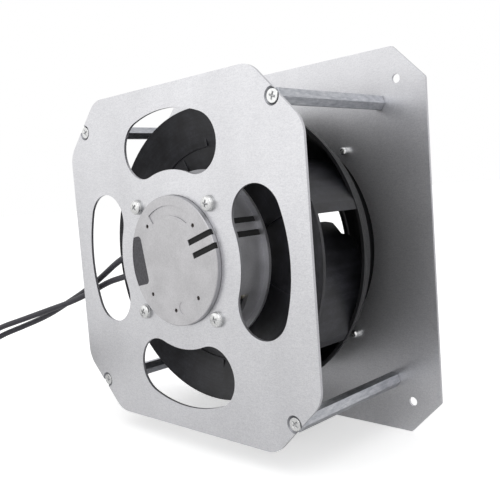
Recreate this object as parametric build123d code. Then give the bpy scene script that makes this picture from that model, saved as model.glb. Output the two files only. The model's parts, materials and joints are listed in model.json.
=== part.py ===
from build123d import *
from math import asin, cos, degrees, hypot, pi, radians, sin, sqrt, tan
import os

# Plug fan: a free-running centrifugal impeller on an external-rotor motor, held between a
# support plate and an inlet plate by four hexagonal spacers. Sizes are in millimetres.
# +X is to the right and +Z up as seen from the motor side. +Y runs from the support plate
# to the inlet. The origin is the centre of the inlet plate's outer face, on the fan axis.

# Inlet plate
inlet_plate_size = 280.0
inlet_plate_thickness = 2.0
inlet_plate_chamfer = 25.0
inlet_plate_corner_fillet = 3.0
inlet_hole_radius = 91.0
mounting_hole_setback = 23.0
mounting_hole_radius = 3.25

# Support plate
support_plate_size = 250.0
support_plate_thickness = 2.0
support_plate_chamfer = 40.0
support_plate_corner_fillet = 20.0
kidney_boss_margin = 18.0
kidney_width = 43.0
kidney_half_angle = 19.8
boss_hole_clearance = 0.3

# Hexagonal spacers and the countersunk screws at both of their ends
standoff_length = 114.0
standoff_across_flats = 10.0
standoff_end_chamfer = 0.6
standoff_bore_depth = 18.0
standoff_turn = 4.0
corner_screw_setback = 23.0
screw_radius = 2.5
screw_clearance_radius = 2.75
countersink_radius = 6.0
countersunk_head_radius = 4.6
corner_screw_length = 15.0
recess_length = 4.8
recess_width = 0.9
recess_depth = 1.6

# Motor housing: a flat casting with a round boss that passes through the support plate
boss_setback = 13.0
boss_height = 4.0
boss_edge_chamfer = 0.5
boss_wall = 5.0
housing_radius = 60.0
housing_depth = 26.4
housing_wall = 3.5
housing_rim_width = 4.2
housing_rim_thickness = 2.3
motor_screw_setback = 4.0
motor_screw_length = 13.0
motor_screw_head_radius = 4.75
motor_screw_head_height = 3.0
motor_recess_depth = 2.0
washer_radius = 5.75
washer_thickness = 1.0
lug_width = 12.0
lug_length = 14.5
face_recess_margin = 7.0
face_recess_width = 7.5
face_recess_half_angle = 35.0
face_recess_depth = 0.8
face_dimple_margin = 11.3
face_dimple_angles = [45, 135, 225, 270, 315]
face_dimple_radius = 1.5
face_dimple_depth = 2.0
ejector_mark_margin = 12.5
ejector_mark_angle = -75.8
ejector_mark_radius = 4.5
ejector_mark_depth = 0.3
groove_width = 4.2
groove_depth = 3.0
groove_tilt = 18.5
groove_1_start = (19.3, 13.0)
groove_2_start = (23.3, 4.0)
side_groove_depth = 2.4
side_groove_1_angle = 26.5
side_groove_2_angle = 17.0
groove_strip_sink = 0.8
side_strip_sink = 0.4
insert_width = 17.5
insert_height = 36.5
insert_fillet = 3.5
insert_tilt = 10.3
insert_centre = (-40.3, -1.0)
insert_thickness = 1.4
insert_sink = 0.3

# Earth terminal, reached through a window in the housing's side
window_angle = -30.0
window_width = 14.0
window_height = 9.0
window_depth = 9.0
terminal_angle = -27.0
terminal_radius = 3.2
terminal_head_height = 2.0
terminal_neck_radius = 1.8
terminal_neck_height = 1.2
terminal_washer_thickness = 1.5
terminal_pillar_radius = 4.2
terminal_setback = 6.0
terminal_pillar_height = 5.0

# Cable gland and the two cables
cable_radius = 2.5
gland_depth = 12.0
gland_corner = 4.0
gland_margin = 5.0
gland_lip = 1.5
gland_plug_depth = 8.0
boot_root_radius = 5.0
boot_tip_radius = 3.6
boot_length = 19.0
cable_axis_setback = 12.0
power_exit_z = 7.5
control_exit_z = -11.6
power_exit_drop = 20.0
control_exit_drop = 12.0

# Control board inside the housing
board_clearance = 0.5
board_thickness = 1.6
board_height = 8.5
board_pillar_radius = 3.0
board_pillar_setback = 7.0
board_screw_radius = 1.5
board_screw_head_radius = 2.8
board_screw_head_height = 1.8
board_screw_length = 7.0
capacitor_radius = 5.0
capacitor_length = 10.0
capacitor_circle = 24.0
choke_radius = 8.0
choke_height = 7.0
choke_bore_radius = 3.5
transistor_size = 7.0
transistor_thickness = 2.4
transistor_circle = 26.0

# Stator, carried by a bearing tube on the motor flange
flange_thickness = 3.0
flange_clearance = 0.3
flange_screw_setback = 10.0
flange_screw_radius = 2.0
flange_screw_head_radius = 3.4
flange_screw_head_height = 2.2
flange_screw_length = 8.0
flange_hole_radius = 9.0
bearing_bore_radius = 4.0
bearing_outer_radius = 11.0
bearing_width = 7.0
bearing_ring_thickness = 1.9
bearing_ball_radius = 1.5
bearing_ball_count = 7
tube_wall = 4.0
tube_shoulder_radius = 9.5
spring_height = 2.5
spring_slack = 0.3
stator_radius = 39.5
stator_length = 34.0
stator_slots = 12
stator_hub_wall = 5.0
stator_tooth_width = 5.0
stator_shoe_height = 2.5
stator_slot_opening = 2.5
bobbin_thickness = 1.0
winding_thickness = 3.0
winding_margin = 1.0

# Rotor
air_gap = 0.5
magnet_thickness = 3.5
magnet_length = 38.0
magnet_count = 8
magnet_gap_angle = 3.0
rotor_cup_wall = 2.5
rotor_cup_end = 4.0
rotor_cup_length = 56.0
rotor_cup_gap = 3.6
rotor_cup_fillet = 3.0
rotor_hub_radius = 6.0
shaft_end_setback = 1.0
circlip_thickness = 1.0
circlip_radius = 6.0
shaft_tail = 1.5

# Impeller: a back disc with the hub and the blades, and a shroud on top of them
wheel_radius = 110.0
wheel_depth = 58.5
wheel_wall = 2.5
wheel_step_setback = 29.2
wheel_cone_height = 9.9
wheel_step_height = 1.2
hub_rotor_clearance = 0.3
hub_wall = 3.0
hub_floor_height = 15.5
hub_end_thickness = 3.5
hub_eye_radius = 20.0
hub_edge_fillet = 2.0
hub_root_fillet = 6.0
rim_rib_count = 4
rim_rib_thickness = 2.0
rim_rib_length = 6.0
rim_rib_setback = 0.8
rim_rib_height = 1.6
hub_rib_count = 8
hub_rib_thickness = 1.6
hub_rib_height = 3.5
blade_count = 7
blade_rim_setback = 0.5
blade_length = 39.5
blade_lead_length = 10.0
blade_middle_angle = 39.0
blade_inner_angle = 51.0
blade_first_angle = 15.0
blade_lead_thickness = 3.4
blade_middle_thickness = 3.2
blade_trail_thickness = 2.0
blade_lead_straight = 52.5
blade_lead_slope_height = 65.0
blade_lead_slope_run = 2.3
outlet_width = 46.0
shroud_wall = 2.5
shroud_rim_height = 2.0
shroud_height = 76.5
throat_clearance = 1.8
shroud_joint_gap = 0.2
shroud_bulge_setback = 10.0
shroud_bulge_height = 78.5
impeller_screw_circle = 30.0
impeller_screw_radius = 2.0
impeller_screw_head_radius = 3.8
impeller_screw_head_height = 2.2
impeller_screw_length = 6.5

# Inlet ring riveted to the inlet plate
throat_radius = 75.0
inlet_ring_wall = 1.2
throat_overlap = 4.0
bell_clearance = 0.8
ring_flange_width = 15.0
rivet_setback = 8.5
rivet_radius = 2.0
rivet_head_radius = 4.0
rivet_head_height = 1.1
rivet_tail_length = 5.0
rivet_bulb_radius = 2.8
rivet_bulb_taper = 1.2
rivet_bore_radius = 1.3
rivet_bore_depth = 4.0

# Routes of the cables from the gland to their coil, as seen in plan and height
cable_exit_run = 14.0
power_route = [
    (-112.0, -104.3, -15.2), (-136.0, -106.5, -28.8), (-164.0, -111.5, -42.0),
    (-189.0, -119.0, -54.6), (-213.0, -131.0, -64.1), (-234.5, -145.0, -72.5),
    (-244.4, -151.2, -80.4), (-253.6, -157.0, -94.0), (-261.9, -162.2, -109.3),
    (-271.6, -168.2, -122.5), (-282.5, -175.0, -130.0),
]
control_route = [
    (-107.5, -105.5, -22.2), (-126.0, -109.0, -30.2), (-151.0, -116.0, -40.0),
    (-177.0, -125.0, -47.6), (-202.0, -136.0, -55.6), (-226.5, -148.3, -63.2),
    (-240.0, -154.6, -70.5), (-252.0, -160.2, -83.0), (-262.6, -164.6, -98.5),
    (-272.8, -169.4, -111.4), (-283.4, -175.2, -118.9),
]
coil_centre = (-287.0, -214.0)
coil_mean_radius = 27.5
coil_width = 10.0
coil_height = 10.0
coil_entry = 124.6
tie_thickness = 1.0
tie_width = 4.0
tie_clearance = 0.3
tie_angle = 265.0
core_radius = 0.7
core_length = 16.0
core_fan = 9.0
ferrule_radius = 1.0
ferrule_length = 5.0
power_core_count = 3
control_core_count = 4
power_coil_end = 340.0
control_coil_end = 12.0

# Radii and spacings, worked out from the sizes
mounting_hole_spacing = inlet_plate_size - 2 * mounting_hole_setback
corner_spacing = support_plate_size - 2 * corner_screw_setback
rivet_circle = inlet_hole_radius + rivet_setback
boss_radius = housing_radius - boss_setback
kidney_inner_radius = boss_radius + kidney_boss_margin
kidney_outer_radius = kidney_inner_radius + kidney_width
motor_screw_circle = housing_radius - motor_screw_setback
lug_inner_radius = housing_radius - lug_length
inner_wall = housing_radius - housing_wall
face_recess_outer_radius = boss_radius - face_recess_margin
face_recess_inner_radius = face_recess_outer_radius - face_recess_width
terminal_circle = housing_radius - terminal_setback
board_radius = boss_radius - housing_wall - board_clearance
board_pillar_circle = board_radius - board_pillar_setback
flange_screw_circle = housing_radius - flange_screw_setback
wheel_step_radius = wheel_radius - wheel_step_setback
shroud_bulge_radius = wheel_radius - shroud_bulge_setback
shroud_eye_radius = throat_radius + inlet_ring_wall + throat_clearance + shroud_wall / 2
blade_outer_radius = wheel_radius - blade_rim_setback
blade_inner_radius = blade_outer_radius - blade_length
blade_middle_radius = blade_inner_radius + blade_lead_length
magnet_inner_radius = stator_radius + air_gap
rotor_inner_radius = magnet_inner_radius + magnet_thickness
rotor_radius = rotor_inner_radius + rotor_cup_wall
hub_inner_radius = rotor_radius + hub_rotor_clearance
hub_radius = hub_inner_radius + hub_wall
tube_radius = bearing_outer_radius + tube_wall

# Places along the axis, worked out from the sizes
inlet_inner_y = -inlet_plate_thickness
support_back_y = inlet_inner_y - standoff_length
support_front_y = support_back_y - support_plate_thickness
boss_face_y = support_front_y - boss_height
housing_rim_y = support_back_y + housing_depth
housing_end_y = housing_rim_y + housing_rim_thickness
flange_y = housing_rim_y
flange_front_y = flange_y - flange_thickness
board_front_y = support_back_y + housing_wall + board_height
board_back_y = board_front_y + board_thickness
rotor_open_y = flange_y + rotor_cup_gap
hub_seat_y = rotor_open_y + rotor_cup_length
wheel_back_y = hub_seat_y - wheel_depth
lower_bearing_y = flange_y
rotor_floor_y = hub_seat_y - rotor_cup_end
upper_bearing_y = rotor_floor_y - rotor_hub_radius - bearing_width
cable_y = support_back_y + cable_axis_setback
stator_middle_y = (rotor_open_y + rotor_floor_y) / 2
stator_start_y = stator_middle_y - stator_length / 2
shroud_front_y = wheel_back_y + outlet_width
shroud_top_y = wheel_back_y + shroud_height
throat_lip_y = shroud_top_y - throat_overlap
stand_z = -inlet_plate_size / 2
corner_angles = [45, 135, 225, 315]


def across(y):
    """Plane square to the fan axis at y, with the sketch's axes along X and Z."""
    return Plane(origin=(0, y, 0), x_dir=(1, 0, 0), z_dir=(0, -1, 0))


def slab(sketch, y0, y1):
    """Sketch in X and Z, made solid from y0 to y1."""
    return extrude(across(y1) * sketch, amount=y1 - y0)


def rod(x, z, y0, y1, radius):
    """Round bar along the fan axis."""
    start = Plane(origin=(x, y0, z), x_dir=(1, 0, 0), z_dir=(0, 1, 0))
    return start * Cylinder(radius, y1 - y0, align=(Align.CENTER, Align.CENTER, Align.MIN))


def taper(x, z, y0, y1, radius0, radius1):
    """Cone along the fan axis, from radius0 at y0 to radius1 at y1."""
    start = Plane(origin=(x, y0, z), x_dir=(1, 0, 0), z_dir=(0, 1, 0))
    return start * Cone(
        radius0, radius1, y1 - y0, align=(Align.CENTER, Align.CENTER, Align.MIN)
    )


def turned(*edges):
    """Solid of revolution about the fan axis from edges in radius and y."""
    return revolve(make_face(Curve() + list(edges)), Axis.Y)


def turned_outline(*points):
    return revolve(make_face(Polyline(*points, close=True)), Axis.Y)


def ring(y0, y1, inner, outer):
    return rod(0, 0, y0, y1, outer) - rod(0, 0, y0, y1, inner)


def polar(radius, angle):
    return radius * cos(radians(angle)), radius * sin(radians(angle))


def spun(shape, angle):
    """Shape turned about the fan axis, counter-clockwise as seen from the motor side."""
    return shape.rotate(Axis.Y, -angle)


def group(solids):
    return Compound(children=list(solids))


def square_points(spacing):
    half = spacing / 2
    return [(half, half), (-half, half), (-half, -half), (half, -half)]


def cut_all(shape, tools):
    for tool in tools:
        shape = shape - tool
    return shape


def write(name, shape):
    export_step(shape, f"parts/{name}.step")


def cross_recess(x, z, y, depth, length):
    """Cross slot for a screwdriver, cut into a head whose top is at y."""
    slots = [Pos(x, z) * Rectangle(length, recess_width)]
    slots.append(Pos(x, z) * Rectangle(recess_width, length))
    return [slab(slot, y, y + depth) for slot in slots]


os.makedirs("parts", exist_ok=True)

# Plates
corners = square_points(corner_spacing)
countersink_depth = countersink_radius - screw_radius
head_drop = countersink_radius - countersunk_head_radius


def front_countersink(x, z):
    return taper(
        x, z, support_front_y, support_front_y + countersink_depth,
        countersink_radius, screw_radius,
    )


def rear_countersink(x, z):
    return taper(x, z, -countersink_depth, 0, screw_radius, countersink_radius)


inlet_outline = Rectangle(inlet_plate_size, inlet_plate_size)
inlet_outline = chamfer(inlet_outline.vertices(), inlet_plate_chamfer)
inlet_outline = fillet(inlet_outline.vertices(), inlet_plate_corner_fillet)
inlet_outline -= Circle(inlet_hole_radius)
for x, z in square_points(mounting_hole_spacing):
    inlet_outline -= Pos(x, z) * Circle(mounting_hole_radius)
for angle in corner_angles:
    inlet_outline -= Pos(*polar(rivet_circle, angle)) * Circle(rivet_radius)
inlet_plate = slab(inlet_outline, inlet_inner_y, 0)
inlet_plate = cut_all(inlet_plate, [rear_countersink(x, z) for x, z in corners])
write("inlet_plate", inlet_plate)

kidney_middle = (kidney_inner_radius + kidney_outer_radius) / 2
kidney_arc = CenterArc((0, 0), kidney_middle, -kidney_half_angle, 2 * kidney_half_angle)
kidney = SlotArc(kidney_arc, kidney_outer_radius - kidney_inner_radius)
support_outline = Rectangle(support_plate_size, support_plate_size)
support_outline = chamfer(support_outline.vertices(), support_plate_chamfer)
support_outline = fillet(support_outline.vertices(), support_plate_corner_fillet)
support_outline -= Circle(boss_radius + boss_hole_clearance)
for turn in [0, 90, 180, 270]:
    support_outline -= Rot(0, 0, turn) * kidney
for angle in corner_angles:
    support_outline -= Pos(*polar(motor_screw_circle, angle)) * Circle(screw_clearance_radius)
support_plate = slab(support_outline, support_front_y, support_back_y)
support_plate = cut_all(support_plate, [front_countersink(x, z) for x, z in corners])
write("support_plate", support_plate)

# Spacers: hexagonal bar, tapped at both ends, with its end corners turned off
hexagon = RegularPolygon(
    standoff_across_flats / 2, 6, major_radius=False, rotation=standoff_turn
)
hex_corner = standoff_across_flats / 2 / cos(pi / 6)
end_radius = standoff_across_flats / 2
end_length = (hex_corner - end_radius) * standoff_end_chamfer
names = ["standoff_top_right", "standoff_top_left", "standoff_bottom_left",
         "standoff_bottom_right"]
for name, (x, z) in zip(names, corners):
    bar = slab(Pos(x, z) * hexagon, support_back_y, inlet_inner_y)
    envelope = taper(
        x, z, support_back_y, support_back_y + end_length, end_radius, hex_corner
    )
    envelope += rod(
        x, z, support_back_y + end_length, inlet_inner_y - end_length, hex_corner
    )
    envelope += taper(
        x, z, inlet_inner_y - end_length, inlet_inner_y, hex_corner, end_radius
    )
    bar = bar & envelope
    bores = [
        rod(x, z, support_back_y, support_back_y + standoff_bore_depth, screw_radius),
        rod(x, z, inlet_inner_y - standoff_bore_depth, inlet_inner_y, screw_radius),
        front_countersink(x, z),
        rear_countersink(x, z),
    ]
    write(name, cut_all(bar, bores))

head_height = countersunk_head_radius - screw_radius
corner_screws = []
for x, z in corners:
    top = support_front_y + head_drop
    screw = taper(x, z, top, top + head_height, countersunk_head_radius, screw_radius)
    screw += rod(x, z, top + head_height, top + corner_screw_length, screw_radius)
    corner_screws.append(cut_all(screw, cross_recess(x, z, top, recess_depth, recess_length)))
    top = -head_drop
    screw = taper(x, z, top - head_height, top, screw_radius, countersunk_head_radius)
    screw += rod(x, z, top - corner_screw_length, top - head_height, screw_radius)
    slots = cross_recess(x, z, top - recess_depth, recess_depth, recess_length)
    corner_screws.append(cut_all(screw, slots))
write("corner_screws", group(corner_screws))

# Motor housing
cavity_front_y = boss_face_y + boss_wall
housing_rim_radius = housing_radius + housing_rim_width
housing = turned_outline(
    (0, boss_face_y),
    (boss_radius - boss_edge_chamfer, boss_face_y),
    (boss_radius, boss_face_y + boss_edge_chamfer),
    (boss_radius, support_back_y),
    (housing_radius, support_back_y),
    (housing_radius, housing_rim_y),
    (housing_rim_radius, housing_rim_y),
    (housing_rim_radius, housing_end_y),
    (inner_wall, housing_end_y),
    (inner_wall, support_back_y + housing_wall),
    (boss_radius - housing_wall, support_back_y + housing_wall),
    (boss_radius - housing_wall, cavity_front_y),
    (0, cavity_front_y),
)
lug_sketch = Pos(lug_inner_radius + lug_length / 2, 0) * Rectangle(lug_length, lug_width)
lug_sketch = lug_sketch & Circle(housing_radius - housing_wall / 2)
for angle in corner_angles:
    housing += spun(slab(lug_sketch, support_back_y + housing_wall / 2, flange_front_y), angle)
for angle in [0, 90, 180, 270]:
    x, z = polar(board_pillar_circle, angle)
    housing += rod(x, z, cavity_front_y - 1, board_front_y, board_pillar_radius)
terminal_x, terminal_z = polar(terminal_circle, terminal_angle)
terminal_seat_y = support_back_y + housing_wall + terminal_pillar_height
housing += rod(
    terminal_x, terminal_z, support_back_y + 1, terminal_seat_y, terminal_pillar_radius
)

face_recess = Circle(face_recess_outer_radius) - Circle(face_recess_inner_radius)
wedge_reach = 2 * face_recess_outer_radius
face_recess = face_recess & Polygon(
    (0, 0),
    polar(wedge_reach, 90 - face_recess_half_angle),
    (0, wedge_reach),
    polar(wedge_reach, 90 + face_recess_half_angle),
    align=None,
)
tools = [slab(face_recess, boss_face_y, boss_face_y + face_recess_depth)]
strips = []
for angle in face_dimple_angles:
    x, z = polar(boss_radius - face_dimple_margin, angle)
    tools.append(rod(x, z, boss_face_y, boss_face_y + face_dimple_depth, face_dimple_radius))
x, z = polar(boss_radius - ejector_mark_margin, ejector_mark_angle)
tools.append(rod(x, z, boss_face_y, boss_face_y + ejector_mark_depth, ejector_mark_radius))
for start in [groove_1_start, groove_2_start]:
    strip = Rectangle(boss_radius, groove_width, align=(Align.MIN, Align.CENTER))
    strip = Pos(*start) * Rot(0, 0, groove_tilt) * strip
    tools.append(slab(strip, boss_face_y, boss_face_y + groove_depth))
    strip = strip & Circle(boss_radius - boss_edge_chamfer)
    strips.append(slab(strip, boss_face_y + groove_strip_sink, boss_face_y + groove_depth))
for angle in [side_groove_1_angle, side_groove_2_angle]:
    strip = Rectangle(side_groove_depth + 1, groove_width, align=(Align.MIN, Align.CENTER))
    strip = Rot(0, 0, angle) * Pos(housing_radius - side_groove_depth, 0) * strip
    tools.append(slab(strip, support_back_y, housing_rim_y))
    strip = strip & Circle(housing_radius - side_strip_sink)
    strips.append(slab(strip, support_back_y, housing_rim_y))
insert_sketch = Rectangle(insert_width, insert_height)
insert_sketch = fillet(insert_sketch.vertices(), insert_fillet)
insert_sketch = Pos(*insert_centre) * Rot(0, 0, insert_tilt) * insert_sketch
insert_sketch = insert_sketch & Circle(boss_radius - boss_edge_chamfer)
insert_floor_y = boss_face_y + insert_sink + insert_thickness
tools.append(slab(insert_sketch, boss_face_y, insert_floor_y))
window = Rot(0, 0, window_angle) * Pos(inner_wall - 1, 0) * Rectangle(
    housing_wall + 3, window_width, align=(Align.MIN, Align.CENTER)
)
window_start_y = support_back_y + housing_wall + 1
tools.append(slab(window, window_start_y, window_start_y + window_height))
for angle in corner_angles:
    x, z = polar(motor_screw_circle, angle)
    thread_end = support_front_y - washer_thickness + motor_screw_length
    tools.append(rod(x, z, support_back_y, thread_end, screw_radius))
    x, z = polar(flange_screw_circle, angle)
    thread_start = flange_y - flange_screw_length
    tools.append(rod(x, z, thread_start, flange_front_y, flange_screw_radius))
for angle in [0, 90, 180, 270]:
    x, z = polar(board_pillar_circle, angle)
    thread_start = board_back_y - board_screw_length
    tools.append(rod(x, z, thread_start, board_front_y, board_screw_radius))

# Cable gland: a rubber plug through the housing's left side with a boot for each cable
gland_top = power_exit_z + boot_root_radius + gland_margin / 2
gland_bottom = control_exit_z - boot_root_radius - gland_margin / 2
gland_height = gland_top - gland_bottom
gland_middle = (gland_top + gland_bottom) / 2
gland_sketch = fillet(Rectangle(gland_depth, gland_height).vertices(), gland_corner)
gland_lip_sketch = fillet(
    Rectangle(gland_depth + 2 * gland_lip, gland_height + 2 * gland_lip).vertices(),
    gland_corner + gland_lip,
)
gland_plane = Plane(
    origin=(-housing_radius - gland_lip, cable_y, gland_middle),
    x_dir=(0, 1, 0), z_dir=(1, 0, 0),
)
gland_plug = extrude(gland_plane * gland_sketch, amount=gland_plug_depth + gland_lip)
gland_pad = extrude(gland_plane * gland_lip_sketch, amount=gland_plug_depth)
gland_pad = gland_pad - rod(0, 0, support_back_y, housing_rim_y, housing_radius)
housing = cut_all(housing, tools)
housing = housing - gland_plug
write("motor_housing", housing)
write("groove_strips", group(strips))
write("cable_exit_insert", slab(insert_sketch, boss_face_y + insert_sink, insert_floor_y))


def boot(exit_z, drop):
    """Tapered strain relief, pointing to -X and drop degrees down."""
    heading = Vector(-cos(radians(drop)), 0, -sin(radians(drop)))
    root = Vector(-housing_radius, cable_y, exit_z)
    start = Plane(origin=root, x_dir=(0, 1, 0), z_dir=heading)
    solid = start * Cone(
        boot_root_radius, boot_tip_radius, boot_length,
        align=(Align.CENTER, Align.CENTER, Align.MIN),
    )
    return solid, root + heading * boot_length, heading


power_boot, power_exit, power_heading = boot(power_exit_z, power_exit_drop)
control_boot, control_exit, control_heading = boot(control_exit_z, control_exit_drop)
boot_trim = rod(0, 0, support_back_y, housing_rim_y, housing_radius)
gland = gland_plug + gland_pad + (power_boot - boot_trim) + (control_boot - boot_trim)
write("cable_gland", gland)
terminal_neck_y = terminal_seat_y + terminal_washer_thickness
terminal_head_y = terminal_neck_y + terminal_neck_height
terminal = rod(terminal_x, terminal_z, terminal_seat_y, terminal_neck_y, terminal_radius)
terminal += rod(terminal_x, terminal_z, terminal_neck_y, terminal_head_y, terminal_neck_radius)
terminal += rod(
    terminal_x, terminal_z, terminal_head_y, terminal_head_y + terminal_head_height,
    terminal_radius,
)
write("earth_terminal", terminal)

# Motor screws with washers, on the front of the support plate
washers = []
motor_screws = []
washer_face_y = support_front_y - washer_thickness
for angle in corner_angles:
    x, z = polar(motor_screw_circle, angle)
    washer = rod(x, z, washer_face_y, support_front_y, washer_radius)
    washers.append(washer - rod(x, z, washer_face_y, support_front_y, screw_clearance_radius))
    dome_radius = (motor_screw_head_radius**2 + motor_screw_head_height**2) / (
        2 * motor_screw_head_height
    )
    dome = Pos(x, washer_face_y - motor_screw_head_height + dome_radius, z) * Sphere(dome_radius)
    head = dome & rod(
        x, z, washer_face_y - motor_screw_head_height, washer_face_y, motor_screw_head_radius
    )
    screw = head + rod(x, z, washer_face_y, washer_face_y + motor_screw_length, screw_radius)
    top = washer_face_y - motor_screw_head_height
    motor_screws.append(cut_all(screw, cross_recess(x, z, top, motor_recess_depth, recess_length)))
write("motor_washers", group(washers))
write("motor_screws", group(motor_screws))

# Control board with its parts, on four pillars in the housing
board_sketch = Circle(board_radius)
board_screws = []
for angle in [0, 90, 180, 270]:
    x, z = polar(board_pillar_circle, angle)
    board_sketch -= Pos(x, z) * Circle(board_screw_radius)
    head_y = board_back_y + board_screw_head_height
    screw = rod(x, z, board_back_y, head_y, board_screw_head_radius)
    screw += rod(x, z, board_back_y - board_screw_length, board_back_y, board_screw_radius)
    board_screws.append(screw)
write("control_board", slab(board_sketch, board_front_y, board_back_y))
write("board_screws", group(board_screws))
capacitors = []
for angle in [60, 120, 240]:
    x, z = polar(capacitor_circle, angle)
    can = rod(x, z, board_front_y - capacitor_length, board_front_y, capacitor_radius)
    capacitors.append(can)
write("board_capacitors", group(capacitors))
x, z = polar(capacitor_circle, 300)
choke = rod(x, z, board_front_y - choke_height, board_front_y, choke_radius)
choke -= rod(x, z, board_front_y - choke_height, board_front_y, choke_bore_radius)
write("board_choke", choke)
transistors = []
for angle in [20, 80, 140, 200, 260, 320]:
    body = Rot(0, 0, angle) * Pos(transistor_circle, 0) * Rectangle(
        transistor_size, transistor_size
    )
    transistors.append(slab(body, board_back_y, board_back_y + transistor_thickness))
write("power_transistors", group(transistors))

# Motor flange with the bearing tube
upper_seat_y = upper_bearing_y - spring_height
tube_end_y = upper_bearing_y + bearing_width + 1
flange_radius = inner_wall - flange_clearance
bearing_tube = turned_outline(
    (flange_hole_radius, flange_front_y),
    (flange_radius, flange_front_y),
    (flange_radius, flange_y),
    (tube_radius, flange_y),
    (tube_radius, tube_end_y),
    (bearing_outer_radius, tube_end_y),
    (bearing_outer_radius, upper_seat_y),
    (tube_shoulder_radius, upper_seat_y),
    (tube_shoulder_radius, lower_bearing_y + bearing_width),
    (bearing_outer_radius, lower_bearing_y + bearing_width),
    (bearing_outer_radius, lower_bearing_y),
    (flange_hole_radius, lower_bearing_y),
)
flange_screws = []
for angle in corner_angles:
    x, z = polar(flange_screw_circle, angle)
    bearing_tube -= rod(x, z, flange_front_y, flange_y, flange_screw_radius)
    screw = rod(x, z, flange_y, flange_y + flange_screw_head_height, flange_screw_head_radius)
    screw += rod(x, z, flange_y - flange_screw_length, flange_y, flange_screw_radius)
    flange_screws.append(screw)
write("bearing_tube", bearing_tube)
write("flange_screws", group(flange_screws))

# Two ball bearings, with the races turned to the balls' size
ball_circle = (bearing_bore_radius + bearing_outer_radius) / 2
race_radius = bearing_ball_radius + 0.1
inner_land = bearing_bore_radius + bearing_ring_thickness
outer_land = bearing_outer_radius - bearing_ring_thickness
outer_rings = []
inner_rings = []
balls = []
for start_y in [lower_bearing_y, upper_bearing_y]:
    middle_y = start_y + bearing_width / 2
    race = revolve(Pos(ball_circle, middle_y) * Circle(race_radius), Axis.Y)
    outer = ring(start_y, start_y + bearing_width, outer_land, bearing_outer_radius)
    outer_rings.append(outer - race)
    inner = ring(start_y, start_y + bearing_width, bearing_bore_radius, inner_land)
    inner_rings.append(inner - race)
    for step in range(bearing_ball_count):
        x, z = polar(ball_circle, 360 * step / bearing_ball_count)
        balls.append(Pos(x, middle_y, z) * Sphere(bearing_ball_radius))
write("bearing_outer_rings", group(outer_rings))
write("bearing_inner_rings", group(inner_rings))
write("bearing_balls", group(balls))
spring = ring(
    upper_seat_y, upper_bearing_y,
    bearing_outer_radius - bearing_ring_thickness + spring_slack,
    bearing_outer_radius - spring_slack / 2,
)
write("preload_spring", spring)

# Stator: slotted core on the bearing tube, insulated and wound on every tooth
stator_end_y = stator_start_y + stator_length
stator_hub_radius = tube_radius + stator_hub_wall
shoe_inner_radius = stator_radius - stator_shoe_height
tooth = Rectangle(
    shoe_inner_radius - stator_hub_radius + 2, stator_tooth_width, align=(Align.MIN, Align.CENTER)
)
tooth = Pos(stator_hub_radius - 1, 0) * tooth
core_sketch = Circle(stator_hub_radius)
shoes = Circle(stator_radius) - Circle(shoe_inner_radius)
slot_cut = Pos(shoe_inner_radius - 1, 0) * Rectangle(
    stator_shoe_height + 2, stator_slot_opening, align=(Align.MIN, Align.CENTER)
)
for step in range(stator_slots):
    angle = 360 * step / stator_slots
    core_sketch += Rot(0, 0, angle) * tooth
    shoes -= Rot(0, 0, angle + 180 / stator_slots) * slot_cut
core_sketch = core_sketch + shoes - Circle(tube_radius)
write("stator_core", slab(core_sketch, stator_start_y, stator_end_y))
coil_inner_radius = stator_hub_radius + 1.5
coil_outer_radius = shoe_inner_radius - winding_margin
bobbin_ring = Circle(coil_outer_radius + winding_margin / 2) - Circle(tube_radius + 1)
cap_sketch = core_sketch & bobbin_ring
caps = [
    slab(cap_sketch, stator_start_y - bobbin_thickness, stator_start_y),
    slab(cap_sketch, stator_end_y, stator_end_y + bobbin_thickness),
]
write("slot_insulation", group(caps))
winding_length = coil_outer_radius - coil_inner_radius
winding_hole = stator_length + 2 * bobbin_thickness
windings = []
for step in range(stator_slots):
    block = Pos(coil_inner_radius, stator_middle_y, 0) * Box(
        winding_length, winding_hole + 2 * winding_thickness,
        stator_tooth_width + 2 * winding_thickness / 2,
        align=(Align.MIN, Align.CENTER, Align.CENTER),
    )
    block = fillet(block.edges().filter_by(Axis.X), winding_thickness / 3)
    block -= Pos(coil_inner_radius, stator_middle_y, 0) * Box(
        winding_length, winding_hole, stator_tooth_width,
        align=(Align.MIN, Align.CENTER, Align.CENTER),
    )
    windings.append(spun(block, 360 * step / stator_slots))
write("stator_windings", group(windings))

# Rotor: cup with magnets on the inside, turning on the shaft
cup_edge = hub_seat_y - rotor_cup_fillet
rotor_cup = turned(
    Polyline(
        (rotor_inner_radius, rotor_open_y), (rotor_radius, rotor_open_y),
        (rotor_radius, cup_edge),
    ),
    RadiusArc(
        (rotor_radius, cup_edge), (rotor_radius - rotor_cup_fillet, hub_seat_y),
        -rotor_cup_fillet,
    ),
    Polyline(
        (rotor_radius - rotor_cup_fillet, hub_seat_y),
        (bearing_bore_radius, hub_seat_y),
        (bearing_bore_radius, upper_bearing_y + bearing_width),
        (rotor_hub_radius, upper_bearing_y + bearing_width),
        (rotor_hub_radius, rotor_floor_y),
        (rotor_inner_radius, rotor_floor_y),
        (rotor_inner_radius, rotor_open_y),
    ),
)
for step in range(4):
    x, z = polar(impeller_screw_circle, 90 * step)
    rotor_cup -= rod(x, z, rotor_floor_y, hub_seat_y, impeller_screw_radius)
write("rotor_cup", rotor_cup)
magnet_start_y = stator_middle_y - magnet_length / 2
magnet_ring = Circle(rotor_inner_radius) - Circle(magnet_inner_radius)
gap_width = magnet_inner_radius * radians(magnet_gap_angle)
for step in range(magnet_count // 2):
    magnet_ring -= Rot(0, 0, 360 * step / magnet_count) * Rectangle(
        3 * rotor_inner_radius, gap_width
    )
write("rotor_magnets", slab(magnet_ring, magnet_start_y, magnet_start_y + magnet_length))
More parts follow.
